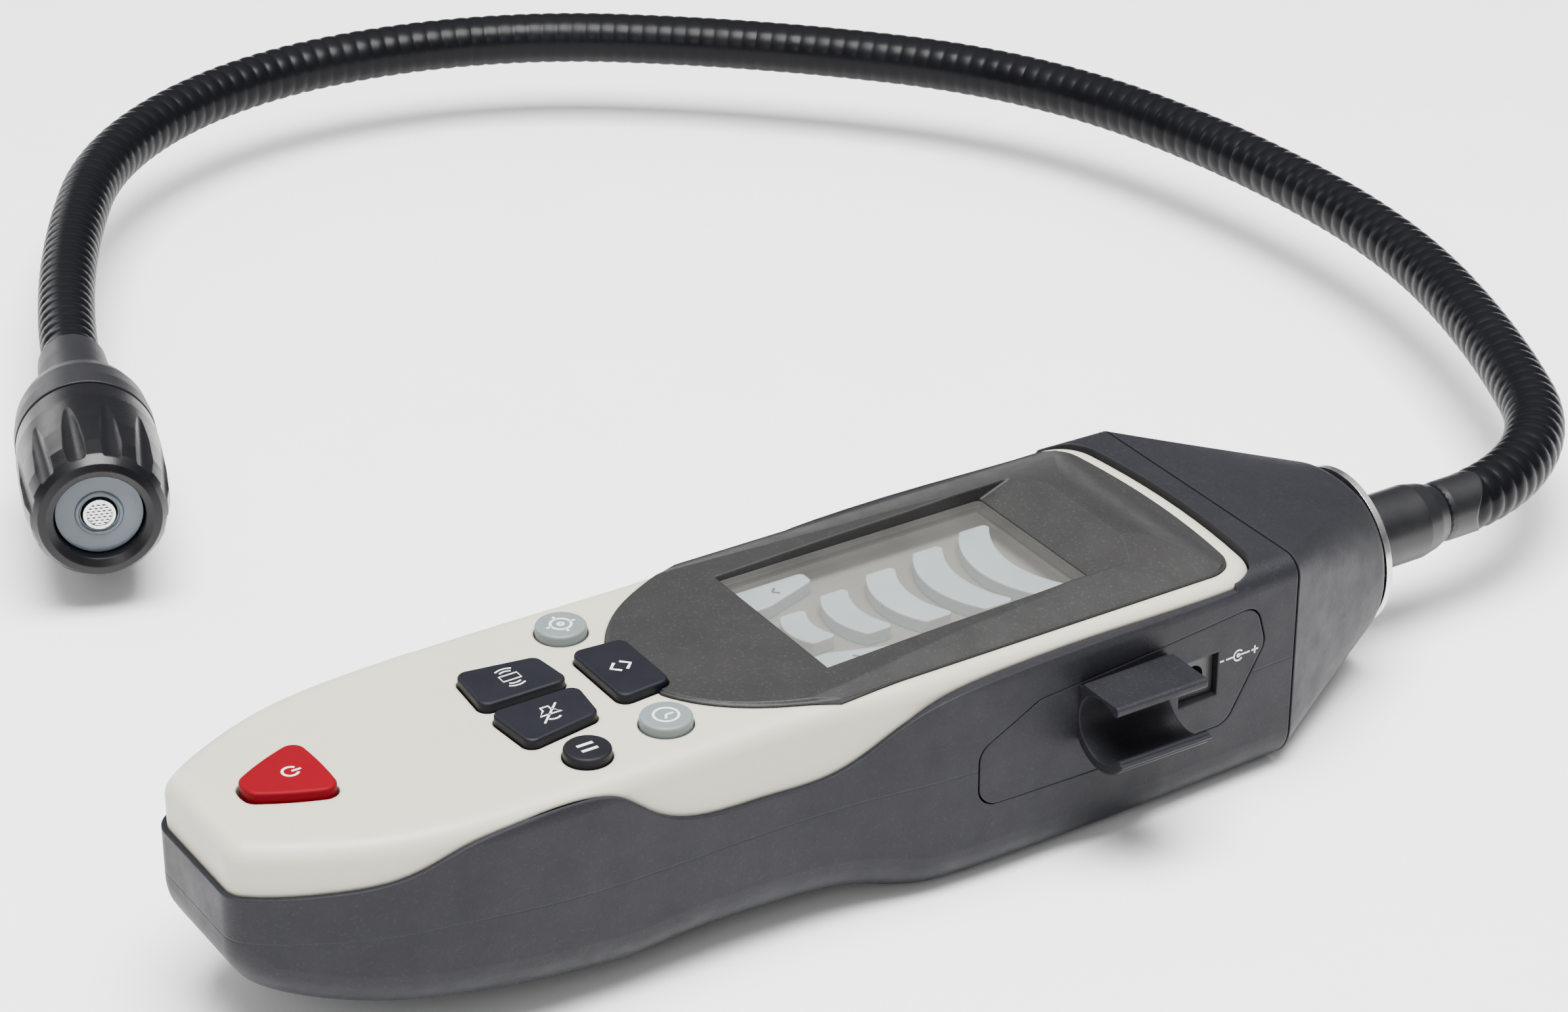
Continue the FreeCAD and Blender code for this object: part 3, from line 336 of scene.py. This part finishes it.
# ---- flexible neck -----------------------------------------------------------------------------
# arcs of the neck's centre line: length in mm and turn to the left in degrees
LINKS = [(50, 63.5), (46, 9.5), (44, 16), (56, 13), (63, 28.5), (63, 12), (67, 34.5), (86.5, 60),
         (75, 13.5)]
SLEEVE_START_Y = 132.2
PIVOT_Y = 136.0
SLEEVE_R = 5.38
RIDGE_PITCH = 3.3
RINGS_PER_RIDGE = 8
RING_SIDES = 28
RIDGE_HEIGHT, RIDGE_SOFTENING = 0.36, 0.22
SOFT_CENTRE, SOFT_SPREAD = 0.50, 0.24       # shares of the neck's length
PLAIN_START, FADE_IN = 1.0, 6.0             # the sleeve starts smooth, where the ferrule grips it
RIDGE_SHARPNESS = 0.8
RIDGE_MIDDLE = 0.45
BLEND_REACH = 19.0
BLEND_MARGIN = 0.5


def neck_point(s):
    """Centre and heading of the neck at a distance from the first joint."""
    x, y, heading = 0.0, PIVOT_Y, 90.0
    if s <= 0:
        return x, y + s, heading
    for length, turn in LINKS:
        run = min(s, length)
        radius = length / math.radians(turn)
        a = math.radians(heading)
        cx, cy = x - radius * math.sin(a), y + radius * math.cos(a)
        heading += turn * run / length
        a = math.radians(heading)
        x, y = cx + radius * math.sin(a), cy - radius * math.cos(a)
        s -= length
        if s <= 0:
            break
    return x, y, heading


def ridge_height(s, total):
    """The sleeve's ridges are bold where the neck bends hard and soft along its flat far side."""
    share = s / total
    soft = math.exp(-((share - SOFT_CENTRE) / SOFT_SPREAD) ** 2)
    smooth_start = min(1.0, max(0.0, (s - PLAIN_START) / FADE_IN))
    return (RIDGE_HEIGHT - RIDGE_SOFTENING * soft) * smooth_start


def sleeve_piece(name, s0, s1, total):
    count = max(1, round((s1 - s0) / RIDGE_PITCH))
    steps = count * RINGS_PER_RIDGE
    points, faces = [], []
    for i in range(steps + 1):
        s = s0 + (s1 - s0) * i / steps
        x, y, heading = neck_point(s)
        a = math.radians(heading)
        wave = abs(math.sin(math.pi * i / RINGS_PER_RIDGE)) ** RIDGE_SHARPNESS
        radius = SLEEVE_R + ridge_height(s, total) * (wave - RIDGE_MIDDLE)
        for k in range(RING_SIDES):
            t = 2 * math.pi * k / RING_SIDES
            out = radius * math.cos(t)
            points.append(at(x + out * math.sin(a), y - out * math.cos(a), NECK_Z + radius * math.sin(t)))
    for i in range(steps):
        for k in range(RING_SIDES):
            a, b = i * RING_SIDES + k, i * RING_SIDES + (k + 1) % RING_SIDES
            faces.append((a, b, b + RING_SIDES, a + RING_SIDES))
    return add_mesh(name, points, faces, MATERIALS["neck_sleeve"])


def build_neck():
    total = sum(length for length, _ in LINKS)
    pivots = [0.0]
    for length, _ in LINKS[:-1]:
        pivots.append(pivots[-1] + length)
    cuts = [SLEEVE_START_Y - PIVOT_Y]
    for pivot, (length, _) in zip(pivots[:-1], LINKS[:-1]):
        cuts.append(pivot + length / 2)
    cuts.append(total)
    for i, pivot in enumerate(pivots):
        piece = sleeve_piece("neck_sleeve_%d" % (i + 1), cuts[i], cuts[i + 1], total)
        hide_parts("neck_link_%d" % (i + 1))
        before = max(pivot - BLEND_REACH, cuts[i] + BLEND_MARGIN)
        xa, ya, _ = neck_point(before)
        xb, yb, _ = neck_point(min(pivot + BLEND_REACH, cuts[i + 1] - BLEND_MARGIN))
        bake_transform(piece)


# ---- printed marks ------------------------------------------------------------------------------
MARK_THICK = 0.05
CIRCLE_POINTS = 24
WALL_X, WALL_Y, WALL_TAPER = 29.4, 50.9, 0.0396


def ribbon(path, width, closed=False):
    """Outline points of a line of even width along a path, as matching left and right points."""
    left, right = [], []
    count = len(path)
    for i, (x, y) in enumerate(path):
        ahead = path[(i + 1) % count] if closed else path[min(i + 1, count - 1)]
        behind = path[i - 1] if closed or i > 0 else path[0]
        dx, dy = ahead[0] - behind[0], ahead[1] - behind[1]
        size = math.hypot(dx, dy) or 1.0
        nx, ny = -dy / size * width / 2, dx / size * width / 2
        left.append((x + nx, y + ny))
        right.append((x - nx, y - ny))
    return left, right


def stroke_mesh(strokes, width):
    """Flat raised lines: top faces and side walls, as points (u, v, height) and faces."""
    points, faces = [], []
    for path, closed in strokes:
        left, right = ribbon(path, width, closed)
        first = len(points)
        for (lx, ly), (rx, ry) in zip(left, right):
            points += [(lx, ly, 0.0), (lx, ly, MARK_THICK), (rx, ry, MARK_THICK), (rx, ry, 0.0)]
        count = len(path)
        for i in range(count if closed else count - 1):
            a, b = first + 4 * i, first + 4 * ((i + 1) % count)
            faces += [(a + k, b + k, b + k + 1, a + k + 1) for k in range(3)]
        if not closed:
            last = first + 4 * (count - 1)
            faces += [(first, first + 1, first + 2, first + 3), (last + 3, last + 2, last + 1, last)]
    return points, faces


def arc(radius, start, end, steps=24, cx=0.0, cy=0.0):
    path = []
    for i in range(steps + 1):
        a = math.radians(start + (end - start) * i / steps)
        path.append((cx + radius * math.cos(a), cy + radius * math.sin(a)))
    return path


def ring(radius, cx=0.0, cy=0.0):
    return arc(radius, 0, 360 - 360 / CIRCLE_POINTS, CIRCLE_POINTS - 1, cx, cy), True


def power_symbol():
    return [(arc(1.25, 125, 415), False), ([(0, 0.2), (0, 1.75)], False)]


def vibration_symbol():
    body = [(-0.8, -1.6), (0.8, -1.6), (0.8, 1.6), (-0.8, 1.6)]
    waves = []
    for side in (0, 180):
        for radius in (1.9, 2.7):
            waves.append((arc(radius, side - 32, side + 32, 12), False))
    return [(body, True)] + waves


def mute_symbol():
    horn = [(-1.9, -0.7), (-1.0, -0.7), (0.3, -1.9), (0.3, 1.9), (-1.0, 0.7), (-1.9, 0.7)]
    return [(horn, True), (arc(1.6, -40, 40, 10, 0.3), False), ([(-2.2, 2.2), (2.3, -2.2)], False)]


def range_symbol():
    up = [(-1.3, 0.5), (0, 1.8), (1.3, 0.5)]
    down = [(-1.3, -0.5), (0, -1.8), (1.3, -0.5)]
    return [(up, False), (down, False)]


def zero_symbol():
    return [ring(1.7), ring(0.45), ([(-2.6, 0), (-1.7, 0)], False), ([(1.7, 0), (2.6, 0)], False),
            ([(0, 1.7), (0, 2.6)], False), ([(0, -2.6), (0, -1.7)], False)]


def timer_symbol():
    return [ring(2.0), ([(0, 1.3), (0, 0), (1.0, -0.6)], False)]


def hold_symbol():
    return [([(-0.8, -1.4), (-0.8, 1.4)], False), ([(0.8, -1.4), (0.8, 1.4)], False)]


def chevron(direction):
    return [([(-0.9, -0.45 * direction), (0, 0.45 * direction), (0.9, -0.45 * direction)], False)]


def polarity_symbol():
    """Barrel plug mark: centre dot, open ring, a line to each side, minus and plus."""
    return [(arc(0.95, 40, 320), False), ring(0.25), ([(-2.6, 0), (-0.95, 0)], False),
            ([(0.25, 0), (2.4, 0)], False), ([(-3.9, 0), (-3.1, 0)], False),
            ([(2.8, 0), (4.2, 0)], False), ([(3.5, -0.7), (3.5, 0.7)], False)]


def top_mark(name, strokes, x, y, z, width, material, body):
    """Lay strokes flat on a surface that faces up; their top points along +Y."""
    points, faces = stroke_mesh(strokes, width)
    placed = [at(x + u, y + v, z + height) for u, v, height in points]
    mark = add_mesh(name, placed, faces, material, False)
    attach(mark, body)
    return mark


def side_mark(name, strokes, y, z, width, material, body):
    """Put strokes on the +X wall of the housing, which narrows towards the neck, reading along +Y."""
    points, faces = stroke_mesh(strokes, width)
    placed = []
    for u, v, height in points:
        wall = WALL_X - WALL_TAPER * (y + u - WALL_Y)
        placed.append(at(wall + height, y + u, z + v))
    mark = add_mesh(name, placed, faces, material, False)
    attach(mark, body)
    return mark


KEY_MARKS = [
    ("power_mark", power_symbol, 0.0, -91.6, 0.42, "power_key"),
    ("vibration_mark", vibration_symbol, -6.3, -50.3, 0.3, "vibration_key"),
    ("mute_mark", mute_symbol, 6.3, -50.3, 0.34, "mute_key"),
    ("range_mark", range_symbol, 0.0, -34.0, 0.5, "range_key"),
    ("auto_zero_mark", zero_symbol, -16.3, -35.5, 0.42, "auto_zero_key"),
    ("auto_off_mark", timer_symbol, 16.3, -35.5, 0.42, "auto_off_key"),
    ("hold_mark", hold_symbol, 17.9, -50.4, 0.6, "hold_key"),
]
LAMP_TOP_Z = 38.2


def build_marks():
    for name, symbol, x, y, width, body in KEY_MARKS:
        top_mark(name, symbol(), x, y, KEY_TOP_Z, width, MARK_WHITE, body)
    top_mark("low_range_mark", chevron(-1), -12.4, 2.4, LAMP_TOP_Z, 0.45, MARK_GREY, "housing")
    top_mark("high_range_mark", chevron(1), 12.4, 2.4, LAMP_TOP_Z, 0.45, MARK_GREY, "housing")
    side_mark("polarity_mark", polarity_symbol(), 66.6, 26.3, 0.28, MARK_WHITE, "housing")


# ---- raised ring on the sensor disc --------------------------------------------------------------
HEAD_X, HEAD_Y, HEAD_HEADING = -184.04, -46.89, 340.5
DISC_RING = [(60.55, 3.5), (60.95, 3.65), (61.1, 3.95), (60.95, 4.25), (60.55, 4.4)]
RING_STEPS = 48


def build_disc_ring():
    """Round a small profile, given as (distance along the head, radius), about the head's axis."""
    a = math.radians(HEAD_HEADING)
    points, faces = [], []
    for i in range(RING_STEPS):
        t = 2 * math.pi * i / RING_STEPS
        for along, radius in DISC_RING:
            side = radius * math.cos(t)
            x = HEAD_X + along * math.cos(a) - side * math.sin(a)
            y = HEAD_Y + along * math.sin(a) + side * math.cos(a)
            points.append(at(x, y, NECK_Z + radius * math.sin(t)))
    count = len(DISC_RING)
    for i in range(RING_STEPS):
        for k in range(count - 1):
            p, q = i * count + k, (i + 1) % RING_STEPS * count + k
            faces.append((p, q, q + 1, p + 1))
    ring_mesh = add_mesh("disc_ring", points, faces, MATERIALS["head_disc"])
    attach(ring_mesh, "head_cap")


# ---- floor, light and camera -------------------------------------------------------------------
# name, place, size and aim in metres, and power in watts
LIGHTS = [
    ("overhead_softbox", (0.15, -0.1, 1.2), (0.9, 0.7), 62.0, (0.0, 0.0, 0.02)),
    ("side_softbox", (0.9, -0.9, 0.75), (0.5, 0.5), 4.0, (0.0, 0.0, 0.02)),
    ("left_softbox", (-0.95, -0.15, 0.3), (0.2, 0.5), 1.3, (-0.27, 0.0, 0.02)),
]
SKY_LOW, SKY_HIGH = (0.16, 0.16, 0.17, 1.0), (1.0, 1.0, 1.0, 1.0)
SKY_HORIZON, SKY_FULL = 0.5, 0.92
SKY_STRENGTH = 1.5
FLOOR_REACH = 6.0


def area_light(name, where, size, power, aim):
    data = bpy.data.lights.new(name, "AREA")
    data.shape = "RECTANGLE"
    data.size, data.size_y = size
    data.energy = power
    obj = bpy.data.objects.new(name, data)
    obj.location = where
    direction = Vector(aim) - Vector(where)
    obj.rotation_euler = direction.to_track_quat("-Z", "Y").to_euler()
    bpy.context.collection.objects.link(obj)


def light_sky(world):
    """Surrounding light that is bright overhead and dim near the horizon."""
    tree = world.node_tree
    background = tree.nodes["Background"]
    coords = tree.nodes.new("ShaderNodeTexCoord")
    split = tree.nodes.new("ShaderNodeSeparateXYZ")
    tree.links.new(coords.outputs["Generated"], split.inputs["Vector"])
    ramp = tree.nodes.new("ShaderNodeValToRGB")
    tree.links.new(split.outputs["Z"], ramp.inputs["Fac"])
    low, high = ramp.color_ramp.elements
    low.position, low.color = SKY_HORIZON, SKY_LOW
    high.position, high.color = SKY_FULL, SKY_HIGH
    tree.links.new(ramp.outputs["Color"], background.inputs["Color"])
    background.inputs["Strength"].default_value = SKY_STRENGTH


def build_studio():
    reach = FLOOR_REACH
    corners = [(-reach, -reach, 0), (reach, -reach, 0), (reach, reach, 0), (-reach, reach, 0)]
    floor_paint = moulded("floor_paint", (0.86, 0.86, 0.86), 0.7, 2.0, 0.01, 0.1, 1.0, vary=0.01)
    floor = add_mesh("floor", corners, [(0, 1, 2, 3)], floor_paint, False)
    world = bpy.data.worlds.new("studio")
    bpy.context.scene.world = world
    world.use_nodes = True
    light_sky(world)
    for light in LIGHTS:
        area_light(*light)


CAMERA_AT = (498.6, -320.1, 386.3)
CAMERA_AZIMUTH = 57.6
CAMERA_ELEVATION = 28.8
CAMERA_LENS = 98.03
CAMERA_SENSOR = 36.0
CAMERA_NEAR = 0.01


def build_camera():
    data = bpy.data.cameras.new("camera")
    data.lens = CAMERA_LENS
    data.sensor_width = CAMERA_SENSOR
    data.clip_start = CAMERA_NEAR
    obj = bpy.data.objects.new("camera", data)
    obj.location = at(*CAMERA_AT)
    obj.rotation_euler = (math.radians(90 - CAMERA_ELEVATION), 0, math.radians(CAMERA_AZIMUTH))
    bpy.context.collection.objects.link(obj)
    bpy.context.scene.camera = obj


# ---- making ------------------------------------------------------------------------------------
build_camera()
build_studio()
dress_cad_nodes()
build_neck()
build_marks()
build_disc_ring()
